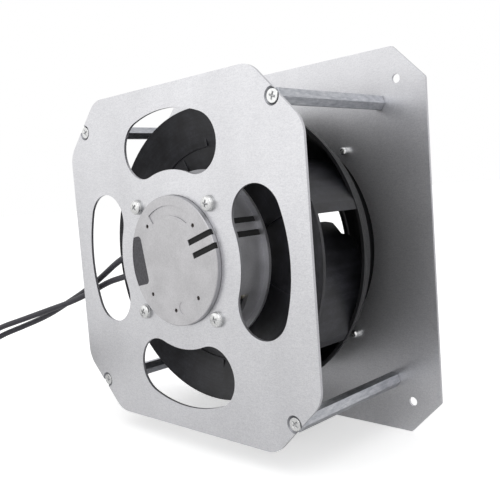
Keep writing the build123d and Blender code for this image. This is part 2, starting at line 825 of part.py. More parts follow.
shaft_start_y = lower_bearing_y - circlip_thickness - shaft_tail
circlip_y = lower_bearing_y - circlip_thickness
shaft = rod(0, 0, shaft_start_y, hub_seat_y - shaft_end_setback, bearing_bore_radius)
circlip_groove = bearing_bore_radius - 0.5
shaft -= ring(circlip_y, lower_bearing_y, circlip_groove, bearing_bore_radius + 1)
write("shaft", shaft)
circlip = ring(circlip_y, lower_bearing_y, circlip_groove, circlip_radius)
circlip -= Pos(0, (circlip_y + lower_bearing_y) / 2, -circlip_radius) * Box(
    2 * circlip_groove * 0.8, 2 * circlip_thickness, circlip_radius
)
write("circlip", circlip)

# Impeller wheel: cone-shaped back disc, hub that fits over the rotor, and the blades
step_y = wheel_back_y + wheel_cone_height
inner_disc_y = step_y + wheel_step_height
hub_floor_y = wheel_back_y + hub_floor_height
hub_top_y = hub_seat_y + hub_end_thickness
wheel = turned_outline(
    (wheel_radius, wheel_back_y),
    (wheel_radius, wheel_back_y + wheel_wall),
    (wheel_step_radius, step_y + wheel_wall + wheel_step_height / 2),
    (hub_radius, hub_floor_y + wheel_wall),
    (hub_radius, hub_top_y),
    (hub_eye_radius, hub_top_y),
    (hub_eye_radius, hub_seat_y),
    (hub_inner_radius, hub_seat_y),
    (hub_inner_radius, hub_floor_y),
    (wheel_step_radius, inner_disc_y),
    (wheel_step_radius, step_y),
)
root_edges = wheel.edges().filter_by(GeomType.CIRCLE)
root_edges = root_edges.filter_by(lambda e: abs(e.radius - hub_radius) < 0.01)
wheel = fillet([root_edges.sort_by(Axis.Y)[0]], hub_root_fillet)
top_edges = wheel.edges().filter_by(GeomType.CIRCLE)
top_edges = top_edges.filter_by(lambda e: abs(e.radius - hub_radius) < 0.01)
wheel = fillet([top_edges.sort_by(Axis.Y)[-1]], hub_edge_fillet)

# Ribs on the motor side of the back disc
rim_rib_start = wheel_step_radius + rim_rib_setback
rim_rib_end = rim_rib_start + rim_rib_length
cone_slope = wheel_cone_height / (wheel_radius - wheel_step_radius)
rim_rib_y = step_y - cone_slope * (rim_rib_setback + rim_rib_length)
rim_rib_root_y = step_y + wheel_wall / 2
rim_rib = extrude(
    make_face(Polyline(
        (rim_rib_start, rim_rib_root_y), (rim_rib_start, step_y - rim_rib_height),
        (rim_rib_end, rim_rib_y), (rim_rib_end, rim_rib_y + wheel_wall / 2), close=True,
    )),
    amount=rim_rib_thickness / 2, both=True,
)
for step in range(rim_rib_count):
    wheel += spun(rim_rib, 360 * step / rim_rib_count)
hub_rib = extrude(
    make_face(Polyline(
        (hub_inner_radius + hub_wall / 2, hub_floor_y + wheel_wall / 2),
        (hub_inner_radius + hub_wall / 2, hub_floor_y - hub_rib_height),
        (wheel_step_radius - 1, inner_disc_y), (wheel_step_radius - 1, inner_disc_y + wheel_wall / 2),
        close=True,
    )),
    amount=hub_rib_thickness / 2, both=True,
)
for step in range(hub_rib_count):
    wheel += spun(hub_rib, 360 * (step + 0.5) / hub_rib_count)


def shroud_lines(inset):
    """Front rim and the dome's control points, the outer face moved inwards by inset."""
    rim = Vector(wheel_radius, shroud_front_y + shroud_rim_height)
    bulge = Vector(shroud_bulge_radius, wheel_back_y + shroud_bulge_height)
    eye = Vector(shroud_eye_radius, shroud_top_y)
    rising = (bulge - rim).normalized()
    closing = (eye - bulge).normalized()
    rise_normal = Vector(rising.Y, -rising.X)
    close_normal = Vector(closing.Y, -closing.X)
    corner = (rise_normal + close_normal) / (1 + rise_normal.dot(close_normal))
    return rim - rise_normal * inset, bulge - corner * inset, eye - close_normal * inset


outer_rim, outer_bulge, outer_eye = shroud_lines(0)
inner_rim, inner_bulge, inner_eye = shroud_lines(shroud_wall)
rim_bottom_outer = Vector(wheel_radius, shroud_front_y)
rim_bottom_inner = Vector(inner_rim.X, shroud_front_y)
lip_point = Vector(shroud_eye_radius - shroud_wall / 2, (outer_eye.Y + inner_eye.Y) / 2)
shroud = turned(
    Line(rim_bottom_inner, rim_bottom_outer),
    Line(rim_bottom_outer, outer_rim),
    Bezier(outer_rim, outer_bulge, outer_eye),
    ThreePointArc(outer_eye, lip_point, inner_eye),
    Bezier(inner_eye, inner_bulge, inner_rim),
    Line(inner_rim, rim_bottom_inner),
)
write("impeller_shroud", shroud)


def camber(radius, angle):
    return Vector(*polar(radius, angle))


trail = camber(blade_outer_radius + 1, 0)
middle = camber(blade_middle_radius, blade_middle_angle)
lead = camber(blade_inner_radius, blade_inner_angle)
camber_line = ThreePointArc(trail, middle, lead)
bend_centre = camber_line.arc_center


def offset_point(point, thickness, side):
    outward = (point - bend_centre).normalized()
    return point + outward * (side * thickness / 2)


suction = [
    offset_point(trail, blade_trail_thickness, 1),
    offset_point(middle, blade_middle_thickness, 1),
    offset_point(lead, blade_lead_thickness, 1),
]
pressure = [
    offset_point(trail, blade_trail_thickness, -1),
    offset_point(middle, blade_middle_thickness, -1),
    offset_point(lead, blade_lead_thickness, -1),
]
nose = lead + (camber_line % 1) * (blade_lead_thickness / 2)
blade_sketch = make_face(Curve() + [
    ThreePointArc(*suction),
    ThreePointArc(suction[-1], nose, pressure[-1]),
    ThreePointArc(*pressure[::-1]),
    Line(pressure[0], suction[0]),
])
straight_y = wheel_back_y + blade_lead_straight
slope_y = wheel_back_y + blade_lead_slope_height
zone_rim, zone_bulge, zone_eye = shroud_lines(shroud_wall + shroud_joint_gap)
zone_corner = Vector(zone_rim.X, shroud_front_y)
blade_zone = turned(
    Polyline(
        zone_corner,
        (blade_outer_radius, shroud_front_y),
        (blade_outer_radius, wheel_back_y + wheel_wall / 2),
        (wheel_step_radius, inner_disc_y + wheel_wall / 2),
        (hub_radius + hub_root_fillet, hub_floor_y + wheel_wall / 2),
        (blade_inner_radius - 4, straight_y - 8),
        (blade_inner_radius, straight_y),
        (blade_inner_radius + blade_lead_slope_run, slope_y),
        (shroud_eye_radius - shroud_wall / 2, slope_y),
        zone_eye,
    ),
    Bezier(zone_eye, zone_bulge, zone_rim),
    Line(zone_rim, zone_corner),
)
blade = slab(blade_sketch, wheel_back_y, shroud_top_y) & blade_zone
for step in range(blade_count):
    wheel += spun(blade, blade_first_angle + 360 * step / blade_count)

impeller_screws = []
for step in range(4):
    x, z = polar(impeller_screw_circle, 90 * step)
    wheel -= rod(x, z, hub_seat_y, hub_top_y, impeller_screw_radius)
    screw = rod(
        x, z, hub_top_y, hub_top_y + impeller_screw_head_height, impeller_screw_head_radius
    )
    screw += rod(x, z, hub_top_y - impeller_screw_length, hub_top_y, impeller_screw_radius)
    impeller_screws.append(screw)
write("impeller_wheel", wheel)
write("impeller_screws", group(impeller_screws))

# Inlet ring: flange on the inlet plate's outer face and a bell down to the throat
bell_radius = inlet_hole_radius - bell_clearance
bell_depth = -throat_lip_y
flow_width = bell_radius - throat_radius
back_width = flow_width - inlet_ring_wall
ring_flange_radius = inlet_hole_radius + ring_flange_width
inlet_ring = turned(
    EllipticalCenterArc(
        (bell_radius, throat_lip_y), flow_width, bell_depth + inlet_ring_wall, 90,
        arc_size=90,
    ),
    EllipticalCenterArc(
        (bell_radius, throat_lip_y), back_width, bell_depth, 90, arc_size=90
    ),
    Line((throat_radius, throat_lip_y), (throat_radius + inlet_ring_wall, throat_lip_y)),
    Polyline(
        (bell_radius, 0), (ring_flange_radius, 0), (ring_flange_radius, inlet_ring_wall),
        (bell_radius, inlet_ring_wall),
    ),
)
rivets = []
for angle in corner_angles:
    x, z = polar(rivet_circle, angle)
    inlet_ring -= rod(x, z, 0, inlet_ring_wall, rivet_radius)
    dome_radius = (rivet_head_radius**2 + rivet_head_height**2) / (2 * rivet_head_height)
    head_y = inlet_ring_wall + rivet_head_height
    dome = Pos(x, head_y - dome_radius, z) * Sphere(dome_radius)
    rivet = dome & rod(x, z, inlet_ring_wall, head_y, rivet_head_radius)
    tail_y = inlet_inner_y - rivet_tail_length
    bulb_y = tail_y + rivet_bulb_taper
    rivet += rod(x, z, inlet_inner_y, inlet_ring_wall, rivet_radius)
    rivet += rod(x, z, bulb_y, inlet_inner_y, rivet_bulb_radius)
    rivet += taper(x, z, tail_y, bulb_y, rivet_radius, rivet_bulb_radius)
    rivet -= rod(x, z, tail_y, tail_y + rivet_bore_depth, rivet_bore_radius)
    rivets.append(rivet)
write("inlet_ring", inlet_ring)
write("inlet_ring_rivets", group(rivets))

# Cables: straight runs joined by tangent arcs, ending in a tied coil beside the fan
coil_outer = coil_mean_radius + coil_width / 2
coil_inner = coil_mean_radius - coil_width / 2
turn_radius = coil_outer - cable_radius
lead_in = sqrt(coil_outer**2 - turn_radius**2)
power_coil_z = stand_z + tie_thickness
control_coil_z = power_coil_z + coil_height


def on_coil(angle, reach, z):
    """Point on a line that leaves the outer turn at angle, reach along its heading."""
    along = Vector(-sin(radians(angle)), cos(radians(angle)), 0)
    out = Vector(cos(radians(angle)), sin(radians(angle)), 0)
    return Vector(*coil_centre, z) + out * turn_radius + along * reach


def cable(name, exit_point, heading, route, coil_z):
    points = [exit_point, exit_point + heading * cable_exit_run]
    points += [Vector(*p) for p in route]
    points.append(on_coil(coil_entry, -lead_in, coil_z + coil_height - cable_radius))
    runs = [b - a for a, b in zip(points, points[1:])]
    radii = []
    for before, after in zip(runs, runs[1:]):
        half_turn = radians(before.get_angle(after)) / 2
        radii.append(0.45 * min(before.length, after.length) / tan(half_turn))
    path = FilletPolyline(*points, radius=radii)
    tube = sweep(Plane(origin=points[0], z_dir=runs[0]) * Circle(cable_radius), path=path)
    print(name, "radii", [round(r) for r in radii])
    print(name, "runs", [round(r.length) for r in runs])
    print(name, "length", round(path.length, 1),
          "volume share", round(tube.volume / (path.length * pi * cable_radius**2), 4))
    return tube


def coil_solid(coil_z):
    washer = Circle(coil_outer) - Circle(coil_inner)
    return extrude(Pos(*coil_centre, coil_z) * washer, amount=coil_height)


def cores(angle, coil_z, count):
    """Stripped cores in ferrules, spread out of the cable's end."""
    pieces = []
    start = on_coil(angle, lead_in, coil_z + cable_radius)
    for step in range(count):
        turn = angle + 90 + core_fan * (step - (count - 1) / 2)
        heading = Vector(cos(radians(turn)), sin(radians(turn)), 0)
        side = Vector(-heading.Y, heading.X, 0)
        offset = side * ((step - (count - 1) / 2) * 2.1 * core_radius)
        place = Plane(origin=start + offset, z_dir=heading)
        wire = place * Cylinder(
            core_radius, core_length, align=(Align.CENTER, Align.CENTER, Align.MIN)
        )
        tip = Plane(origin=start + offset + heading * core_length, z_dir=heading)
        wire += tip * Cylinder(
            ferrule_radius, ferrule_length, align=(Align.CENTER, Align.CENTER, Align.MIN)
        )
        pieces.append(wire)
    return pieces


power_coil = coil_solid(power_coil_z)
control_coil = coil_solid(control_coil_z)
power_tube = cable("power cable", power_exit, power_heading, power_route, power_coil_z)
power_tube = power_tube - power_coil - control_coil
control_tube = cable(
    "control cable", control_exit, control_heading, control_route, control_coil_z
)
control_tube = control_tube - control_coil
write("power_cable", power_tube)
write("control_cable", control_tube)
write("power_cable_coil", power_coil)
write("control_cable_coil", control_coil)
power_cores = [c - power_coil for c in cores(power_coil_end, power_coil_z, power_core_count)]
control_cores = cores(control_coil_end, control_coil_z, control_core_count)
control_cores = [c - control_coil for c in control_cores]
write("power_cable_cores", group(power_cores))
write("control_cable_cores", group(control_cores))

tie_reach = Pos(coil_mean_radius, 0) * Rectangle(
    coil_width + 2 * (tie_clearance + tie_thickness), 2 * coil_height + 2 * tie_thickness
)
tie_reach -= Pos(coil_mean_radius, 0) * Rectangle(
    coil_width + 2 * tie_clearance, 2 * coil_height
)
tie_plane = Plane(
    origin=(*coil_centre, stand_z + coil_height + tie_thickness),
    x_dir=(cos(radians(tie_angle)), sin(radians(tie_angle)), 0),
    z_dir=(sin(radians(tie_angle)), -cos(radians(tie_angle)), 0),
)
tie = extrude(tie_plane * tie_reach, amount=tie_width / 2, both=True)
write("cable_tie", tie)
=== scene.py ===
import bpy
import bmesh
import json
import numpy as np
from math import radians
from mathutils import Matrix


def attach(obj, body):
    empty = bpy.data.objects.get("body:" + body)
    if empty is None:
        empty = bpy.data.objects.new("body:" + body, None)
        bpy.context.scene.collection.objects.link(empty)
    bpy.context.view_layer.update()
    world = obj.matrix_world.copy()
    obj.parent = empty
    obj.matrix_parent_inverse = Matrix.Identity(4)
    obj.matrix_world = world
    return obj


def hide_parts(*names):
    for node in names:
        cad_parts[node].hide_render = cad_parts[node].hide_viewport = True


# Looks for the plug fan. Lengths are in metres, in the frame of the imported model, unless a
# name or a comment says millimetres.
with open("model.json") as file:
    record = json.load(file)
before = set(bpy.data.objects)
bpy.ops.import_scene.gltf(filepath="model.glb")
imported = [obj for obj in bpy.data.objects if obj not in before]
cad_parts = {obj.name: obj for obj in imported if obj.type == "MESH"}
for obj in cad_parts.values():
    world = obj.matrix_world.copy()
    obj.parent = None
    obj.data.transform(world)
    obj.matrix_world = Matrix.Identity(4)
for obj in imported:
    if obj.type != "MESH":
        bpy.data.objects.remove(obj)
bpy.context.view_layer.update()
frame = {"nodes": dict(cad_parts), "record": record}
print("frame loaded:", len(frame["nodes"]), "nodes")

# Camera, where the photograph was taken from
cameraValues = {
    "place": (0.378414, -0.429651, 0.047004),
    "turn": (84.89667, 4.23056, 43.90316),   # degrees about X, Y and Z
    "lens": 49.0712,
    "sensor": 36.0,
    "clip": (0.01, 50.0),
}
cameraData = bpy.data.cameras.new("photoCamera")
cameraData.lens = cameraValues["lens"]
cameraData.sensor_width = cameraValues["sensor"]
cameraData.clip_start, cameraData.clip_end = cameraValues["clip"]
photoCamera = bpy.data.objects.new("photoCamera", cameraData)
photoCamera.location = cameraValues["place"]
photoCamera.rotation_euler = [radians(a) for a in cameraValues["turn"]]
bpy.context.collection.objects.link(photoCamera)
bpy.context.scene.camera = photoCamera


# Helpers for colours and materials
def toLinear(hexColour):
    # sRGB hex to linear light, component by component
    c = np.array([int(hexColour[i:i + 2], 16) for i in (1, 3, 5)]) / 255
    c = np.where(c <= 0.04045, c / 12.92, ((c + 0.055) / 1.055) ** 2.4)
    return (*[float(x) for x in c], 1.0)


def addNode(tree, kind, sets=None, inputs=None, stops=()):
    # one shader node, with its settings, its input values or links, and the (place, hex
    # colour) stops of a colour ramp
    node = tree.nodes.new(kind)
    for name, value in (sets or {}).items():
        setattr(node, name, value)
    for name, value in (inputs or {}).items():
        if isinstance(value, bpy.types.NodeSocket):
            tree.links.new(value, node.inputs[name])
        else:
            node.inputs[name].default_value = value
    if stops:
        bar = node.color_ramp.elements
        while len(bar) < len(stops):
            bar.new(0.5)
        for element, (place, colour) in zip(bar, stops):
            element.position = place
            element.color = toLinear(colour)
    return node


def startMaterial(name, shader):
    # a material and its node tree, with these input values on its main shader
    material = bpy.data.materials.new(name)
    material.use_nodes = True
    tree = material.node_tree
    for socket, value in shader.items():
        tree.nodes["Principled BSDF"].inputs[socket].default_value = value
    return material, tree


def grainPattern(tree, grainMm, stretch=(1, 1, 1), detail=3.0, rough=0.55):
    # noise on Object coordinates, one grain being grainMm across; a stretch under 1 draws
    # the grains out along that axis
    place = addNode(tree, "ShaderNodeTexCoord").outputs["Object"]
    mapped = addNode(tree, "ShaderNodeMapping", inputs={"Vector": place, "Scale": stretch})
    return addNode(tree, "ShaderNodeTexNoise", inputs={
        "Vector": mapped.outputs["Vector"], "Scale": 1000 / grainMm, "Detail": detail,
        "Roughness": rough,
    }).outputs["Fac"]


def axisFacing(tree):
    # how squarely a face looks along the fan's axis: |y| of its true normal, from 0 to 1
    normal = addNode(tree, "ShaderNodeNewGeometry").outputs["True Normal"]
    apart = addNode(tree, "ShaderNodeSeparateXYZ", inputs={0: normal})
    return addNode(tree, "ShaderNodeMath", {"operation": "ABSOLUTE"}, {
        0: apart.outputs["Y"],
    }).outputs[0]


def axisDistance(tree, place):
    # distance of a place from the fan's axis: the length of (x, 0, z)
    flat = addNode(tree, "ShaderNodeVectorMath", {"operation": "MULTIPLY"}, {
        0: place, 1: (1, 0, 1),
    })
    return addNode(tree, "ShaderNodeVectorMath", {"operation": "LENGTH"}, {
        0: flat.outputs[0],
    }).outputs["Value"]


def paint(tree, layers, roughness, bump):
    # colour: the product of all layers, each a pattern and the stops that colour it;
    # roughness: the middle of a pattern, 0.3 to 0.7, spread between a low and a high value;
    # bump: a pattern taken as height, its reach in millimetres and its strength
    tone = None
    for pattern, stops in layers:
        layer = addNode(tree, "ShaderNodeValToRGB", None, {0: pattern}, stops).outputs["Color"]
        if tone is None:
            tone = layer
        else:
            tone = addNode(tree, "ShaderNodeMix", {
                "data_type": "RGBA", "blend_type": "MULTIPLY",
            }, {"Factor": 1.0, 6: tone, 7: layer}).outputs[2]
    gloss, low, high = roughness
    spread = addNode(tree, "ShaderNodeMapRange", inputs={
        "Value": gloss, "From Min": 0.3, "From Max": 0.7, "To Min": low, "To Max": high,
    })
    height, reachMm, strength = bump
    relief = addNode(tree, "ShaderNodeBump", inputs={
        "Height": height, "Distance": reachMm / 1000, "Strength": strength,
    })
    surface = tree.nodes["Principled BSDF"]
    tree.links.new(tone, surface.inputs["Base Color"])
    tree.links.new(spread.outputs["Result"], surface.inputs["Roughness"])
    tree.links.new(relief.outputs["Normal"], surface.inputs["Normal"])


# Hot-dip galvanised sheet, skin-passed: satin metal with a fine grain along the rolling.
# Its cut edges are a little darker, partly for their bare steel and partly as painted shade;
# the countersinks round the corner screws are much darker, as painted shade.
def galvanisedSheet():
    material, tree = startMaterial("galvanisedSheet", {"Metallic": 0.92})
    grain = grainPattern(tree, 0.55, (0.6, 1, 1), detail=4.0, rough=0.65)
    roll = grainPattern(tree, 1.1, (0.3, 1, 1), detail=4.0)
    cloud = grainPattern(tree, 38, (1, 1, 0.6), detail=2.0)
    paint(tree, [
        (grain, [(0.3, "#d2d2d6"), (0.5, "#e0e0e3"), (0.7, "#ebebed")]),
        (roll, [(0.3, "#f6f6f6"), (0.7, "#ffffff")]),
        (cloud, [(0.3, "#f6f6f6"), (0.7, "#ffffff")]),
        # painted shade, by how squarely a face looks along the axis: slanted faces such as the
        # countersinks much darker, cut edges a little darker
        (axisFacing(tree), [(0.5, "#e4e4e6"), (0.6, "#a8a9ac"), (0.8, "#a8a9ac"),
                            (0.9, "#ffffff")]),
    ], roughness=(grain, 0.33, 0.41), bump=(grain, 0.02, 0.3))
    return material


# Pressure die-cast aluminium, tumbled: matt grey with a slightly pitted skin. Its sides, and
# all of it behind the support plate, are painted darker than the boss's face as shade. The small
# blind holes in that face, deeper than its recess and inside its edge, are a darker brownish grey.
castValues = {   # each mask runs from 0 at its first limit to 1 at its second
    "behind": (-0.1185, -0.1165),    # y
    "deep": (-0.1211, -0.1206),      # y
    "within": (0.0455, 0.045),       # distance from the axis
}


def castAluminium():
    material, tree = startMaterial("castAluminium", {"Metallic": 0.9})
    skin = grainPattern(tree, 0.8, detail=5.0, rough=0.65)
    stain = grainPattern(tree, 16, detail=3.0)
    place = addNode(tree, "ShaderNodeTexCoord").outputs["Object"]
    depth = addNode(tree, "ShaderNodeSeparateXYZ", inputs={0: place}).outputs["Y"]
    masks = {"behind": depth, "deep": depth, "within": axisDistance(tree, place)}
    for name, value in masks.items():
        masks[name] = addNode(tree, "ShaderNodeMapRange", inputs={
            "Value": value, "From Min": castValues[name][0], "From Max": castValues[name][1],
        }).outputs["Result"]
    side = addNode(tree, "ShaderNodeMath", {"operation": "SUBTRACT"}, {
        0: 1.0, 1: axisFacing(tree),
    })
    # painted shade: the sides and everything behind the support plate are coloured darker
    paintedShade = addNode(tree, "ShaderNodeMath", {"operation": "MAXIMUM"}, {
        0: side.outputs[0], 1: masks["behind"],
    })
    sunk = addNode(tree, "ShaderNodeMath", {"operation": "SUBTRACT"}, {
        0: masks["deep"], 1: masks["behind"],
    })
    # the small blind holes in the boss's face, coloured a darker brownish grey
    holeTint = addNode(tree, "ShaderNodeMath", {"operation": "MULTIPLY"}, {
        0: sunk.outputs[0], 1: masks["within"],
    })
    paint(tree, [
        (skin, [(0.35, "#c7c6c8"), (0.65, "#d6d5d7")]),
        (stain, [(0.3, "#ececec"), (0.7, "#ffffff")]),
        (paintedShade.outputs[0], [(0.1, "#ffffff"), (0.6, "#e6e7e9")]),
        (holeTint.outputs[0], [(0.1, "#ffffff"), (0.9, "#b5a9a0")]),
    ], roughness=(stain, 0.46, 0.58), bump=(skin, 0.06, 0.45))
    return material


# Drawn steel bar, zinc plated and passivated: blue-grey, blotchy, with drawing lines
def platedBar():
    material, tree = startMaterial("zincPlatedBar", {"Metallic": 1.0})
    blotch = grainPattern(tree, 2.2, (1, 0.35, 1), detail=5.0, rough=0.7)
    lines = grainPattern(tree, 0.4, (1, 0.05, 1), detail=2.0)
    paint(tree, [
        (blotch, [(0.3, "#9da0a6"), (0.5, "#b9bbc0"), (0.72, "#d2d3d6")]),
        (lines, [(0.3, "#e4e4e6"), (0.7, "#ffffff")]),
    ], roughness=(blotch, 0.28, 0.42), bump=(lines, 0.02, 0.4))
    return material


# Bright zinc-plated screws: clear plating over a cold-headed blank
def platedScrew():
    material, tree = startMaterial("brightZincScrew", {"Metallic": 1.0})
    skin = grainPattern(tree, 1.1, detail=3.0)
    paint(tree, [(skin, [(0.3, "#cbcccc"), (0.7, "#ebebea")])],
          roughness=(skin, 0.2, 0.3), bump=(skin, 0.03, 0.3))
    return material


# Glass-filled nylon, moulded: a matt skin with cloudy flow marks, and with faint rings about
# the fan's axis, ringMm apart, where its mould was turned
def mouldedNylon(name, dark, light, low, high, ringMm=None):
    material, tree = startMaterial(name, {"IOR": 1.53})
    skin = grainPattern(tree, 0.5, detail=4.0, rough=0.7)
    streak = grainPattern(tree, 14, (1, 0.5, 1), detail=8.0, rough=0.62)
    speckle = grainPattern(tree, 1.3, (1, 0.4, 1), detail=5.0, rough=0.75)
    layers = [
        (streak, [(0.28, dark), (0.72, light)]),
        (speckle, [(0.35, "#a2a2a2"), (0.65, "#ffffff")]),
    ]
    if ringMm:
        place = addNode(tree, "ShaderNodeTexCoord").outputs["Object"]
        rings = addNode(tree, "ShaderNodeTexNoise", {"noise_dimensions": "1D"}, {
            "W": axisDistance(tree, place), "Scale": 1000 / ringMm, "Detail": 4.0,
            "Roughness": 0.6,
        })
        layers.append((rings.outputs["Fac"], [(0.35, "#dcdcdc"), (0.6, "#ffffff")]))
    paint(tree, layers, roughness=(speckle, low, high), bump=(skin, 0.06, 0.6))
    return material


# Black skins, such as soft PVC and rubber, and near-black painted shade: dull, with fine handling
# marks
def softBlack(name, dark, light, rough):
    material, tree = startMaterial(name, {"IOR": 1.5})
    marks = grainPattern(tree, 2.5, detail=5.0, rough=0.7)
    paint(tree, [(marks, [(0.3, dark), (0.7, light)])],
          roughness=(marks, rough - 0.06, rough + 0.06), bump=(marks, 0.05, 0.3))
    return material


# Plain finishes of the small and inner pieces, each with its own grain
def simpleFinish(name, dark, light, metallic, rough, grainMm, stretch=(1, 1, 1), bumpMm=0.03):
    material, tree = startMaterial(name, {"Metallic": metallic})
    grain = grainPattern(tree, grainMm, stretch, detail=3.0)
    paint(tree, [(grain, [(0.3, dark), (0.7, light)])],
          roughness=(grain, rough - 0.05, rough + 0.05), bump=(grain, bumpMm, 0.4))
    return material


finishes = {   # by material slot
    "galvanised_sheet": galvanisedSheet(),
    "cast_aluminium": castAluminium(),
    "zinc_plated_steel": platedScrew(),
    "impeller_plastic": mouldedNylon("glassFilledNylon", "#0d0d10", "#3e3e45", 0.42, 0.54, 2.5),
    "insert_plastic": mouldedNylon("darkInsertMoulding", "#4b4a50", "#525156", 0.5, 0.6),
    "black_rubber": softBlack("glandRubber", "#121213", "#1b1b1c", 0.62),
    "cable_jacket": softBlack("pvcJacket", "#28272e", "#36353d", 0.45),
    "core_insulation": simpleFinish("coreInsulation", "#6b4326", "#7a4d2c", 0.0, 0.4, 2.0),
    "tie_plastic": softBlack("nylonTie", "#1b1b1b", "#262626", 0.4),
    "brass": simpleFinish("tinnedBrass", "#d3ccb8", "#ece7d8", 1.0, 0.35, 0.6),
    "board_laminate": simpleFinish("solderMask", "#12452a", "#1d6039", 0.0, 0.3, 1.5),
    "capacitor_can": simpleFinish("capacitorSleeve", "#2b3340", "#3a4352", 0.0, 0.35, 2.0),
    "ferrite": simpleFinish("sinteredFerrite", "#1d1d20", "#2b2b2f", 0.0, 0.6, 0.5),
    "transistor_case": simpleFinish("epoxyCase", "#141414", "#1e1e1e", 0.0, 0.5, 0.6),
    "bearing_steel": simpleFinish("groundBearingSteel", "#b9babd", "#dcdddf", 1.0, 0.18, 0.8),
    "core_steel": simpleFinish(
        "stackedLaminations", "#55585e", "#8b8e94", 1.0, 0.45, 0.5, (0.05, 1, 0.05)
    ),
    "slot_plastic": simpleFinish("slotInsulation", "#d9d5c8", "#e8e5da", 0.0, 0.5, 1.5),
    "copper_wire": simpleFinish(
        "enamelledCopper", "#7d3a1c", "#c2703c", 1.0, 0.32, 0.7, (1, 0.08, 1), 0.2
    ),
    "spring_steel": simpleFinish("oiledSpringSteel", "#5b5d62", "#77797e", 1.0, 0.35, 1.2),
}
platedHex = platedBar()
ownFinishes = {   # nodes that look different from the rest of their slot
    # near-black strips filling the boss's grooves: painted shade of the grooves
    "groove_strips": softBlack("grooveShadeStrip", "#060607", "#0e0e10", 0.8),
    # the shroud in a darker copy of the impeller's nylon: painted shade
    "impeller_shroud": mouldedNylon(
        "shroudNylonPaintedShade", "#0b0b0d", "#202024", 0.42, 0.58, 2.5
    ),
    # washers darker than the screws: painted shade round the pan heads
    "motor_washers": simpleFinish("washerPaintedShade", "#b3b4b5", "#c4c5c6", 1.0, 0.3, 1.2),
    # the inlet ring near black: painted shade and painted reflection of the dark shroud
    "inlet_ring": softBlack("inletRingPaintedShade", "#151517", "#1c1c1f", 0.42),
}
slotOf = {row["node"]: row["material_slot"] for row in frame["record"]["subparts"]}
for nodeName, node in frame["nodes"].items():
    node.data.materials.clear()
    node.data.materials.append(ownFinishes.get(nodeName, finishes[slotOf[nodeName]]))
print("finishes on the packed nodes")


# Helpers for new pieces
def newPiece(name, data, body, finish, stands=()):
    # an object from a mesh or curve, on its body, in its slot and for the nodes it replaces
    piece = bpy.data.objects.new(name, data)
    bpy.context.collection.objects.link(piece)
    data.materials.clear()
    data.materials.append(finish)
    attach(piece, body)
    if stands:
        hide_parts(*stands)
    return piece


def gridFaces(rows, columns, start=0, ring=False):
    # quads of a grid that is closed along its columns and, for a ring, along its rows too
    i, j = np.meshgrid(np.arange(rows if ring else rows - 1), np.arange(columns), indexing="ij")
    below, beside = (i + 1) % rows, (j + 1) % columns
    faces = np.stack([i * columns + j, i * columns + beside, below * columns + beside,
                      below * columns + j], -1).reshape(-1, 4)
    return faces + start


def meshOf(name, points, faces, smoothAngle=35):
    # points (n, 3) and quads (m, 4) into a mesh with its doubles merged and faces outwards
    mesh = bpy.data.meshes.new(name)
    mesh.from_pydata(points.tolist(), [], faces.tolist())
    work = bmesh.new()
    work.from_mesh(mesh)
    bmesh.ops.remove_doubles(work, verts=work.verts, dist=1e-6)
    bmesh.ops.dissolve_degenerate(work, dist=1e-7, edges=work.edges)
    bmesh.ops.recalc_face_normals(work, faces=work.faces)
    for edge in work.edges:
        sharp = len(edge.link_faces) == 2 and edge.calc_face_angle(0) > radians(smoothAngle)
        edge.smooth = not sharp
    for face in work.faces:
        face.smooth = True
    work.to_mesh(mesh)
    work.free()
    return mesh


# Cables: the route's points with a spline through them, then the turns of the coil
cableValues = {
    "diameter": 0.005,
    "bootLength": 0.014,       # straight run out of the boot
    "coilCentre": (-0.287, -0.214),
    "turnRadii": (0.030, 0.025),
    "leadOut": 0.0125,
    "turnStart": 124.6,        # degrees
    "pointTurn": 20.0,         # degrees between two points of a turn, about
    "layerTurn": 310.0,        # degrees of winding before the next layer
    "layerStep": 40.0,         # degrees over which it changes
}
cables = {
    "power": {
        "exit": (-0.077854, -0.104, 0.001002), "drop": 20.0,
        "route": [(-0.112, -0.1043, -0.0152), (-0.136, -0.1065, -0.0288),
                  (-0.164, -0.1115, -0.042), (-0.189, -0.119, -0.0546),
                  (-0.213, -0.131, -0.0641), (-0.2345, -0.145, -0.0725),
                  (-0.2444, -0.1512, -0.0804), (-0.2536, -0.157, -0.094),
                  (-0.2619, -0.1622, -0.1093), (-0.2716, -0.1682, -0.1225),
                  (-0.2825, -0.175, -0.130), (-0.293746, -0.182208, -0.1315)],
        "winding": 935.4, "topZ": -0.1315, "lowZ": -0.1365,
        "cores": ["#6a3f22", "#2b57a5", "#4f8a34"],
    },
    "control": {
        "exit": (-0.078585, -0.104, -0.01555), "drop": 12.0,
        "route": [(-0.1075, -0.1055, -0.0222), (-0.126, -0.109, -0.0302),
                  (-0.151, -0.116, -0.040), (-0.177, -0.125, -0.0476),
                  (-0.202, -0.136, -0.0556), (-0.2265, -0.1483, -0.0632),
                  (-0.240, -0.1546, -0.0705), (-0.252, -0.1602, -0.083),
                  (-0.2626, -0.1646, -0.0985), (-0.2728, -0.1694, -0.1114),
                  (-0.2834, -0.1752, -0.1189), (-0.293746, -0.182208, -0.1215)],
        "winding": 967.4, "topZ": -0.1215, "lowZ": -0.1265,
        "cores": ["#b32b26", "#d9c23a", "#e6e4de", "#2b57a5"],
    },
}


